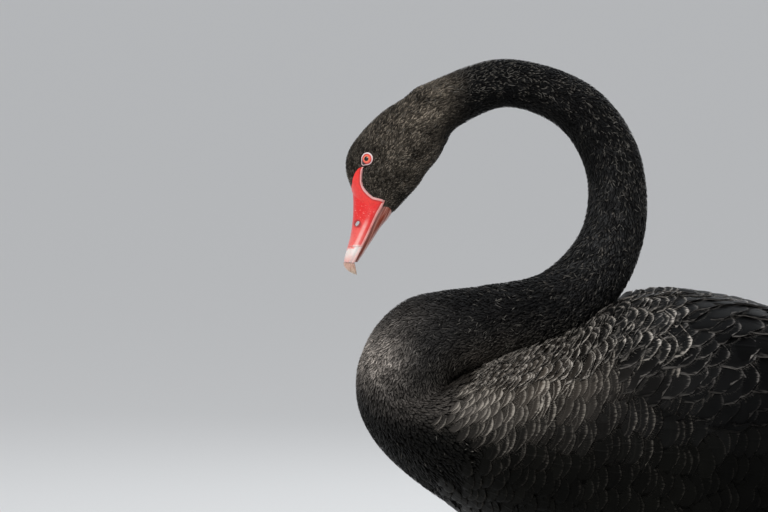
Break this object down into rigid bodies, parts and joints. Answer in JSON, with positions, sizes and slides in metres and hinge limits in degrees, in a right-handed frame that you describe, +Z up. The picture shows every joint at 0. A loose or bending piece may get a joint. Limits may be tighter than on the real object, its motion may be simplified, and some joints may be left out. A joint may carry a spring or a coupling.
{
  "type": "black swan figure",
  "caption": "Life-size standing waterbird with black plumage, long neck folded back in a tight curve, head bent down, red bill with a pale bar, white wing tips and webbed feet.",
  "frame": {"origin": "centre of the bounding box at floor level, under the soles", "axes": "+Z up; the bill points towards -X and the tail towards +X; the bird's left side is towards -Y"},
  "size_m": [0.6552, 0.2436, 0.6028],
  "materials": {
    "plumage": "soft black feathers, faintly brown at their edges",
    "bill_red": "smooth red horn and bare skin, slightly glossy",
    "pale_bar": "smooth white to pale pink",
    "nail_horn": "smooth pale horn",
    "iris": "wet and glossy, orange-red round a dark pupil",
    "eyelid": "bare pale pink skin",
    "white_feather": "soft white feathers",
    "leg_skin": "scaly dark grey skin"
  },
  "bodies": {
    "root": {"head": "plumage", "neck_crown": "plumage", "neck_arch": "plumage", "neck_rear": "plumage", "neck_fold": "plumage", "neck_base": "plumage", "torso": "plumage", "wing_left": "plumage", "wing_right": "plumage", "thigh_left": "plumage", "thigh_right": "plumage", "tail": "plumage", "bill_upper": "bill_red", "bill_lower": "bill_red", "bill_band": "pale_bar", "bill_nail": "nail_horn", "eye_left": "iris", "lid_left": "eyelid", "primaries_left": "white_feather", "shank_left": "leg_skin", "foot_left": "leg_skin", "eye_right": "iris", "lid_right": "eyelid", "primaries_right": "white_feather", "shank_right": "leg_skin", "foot_right": "leg_skin"}
  },
  "joints": []
}
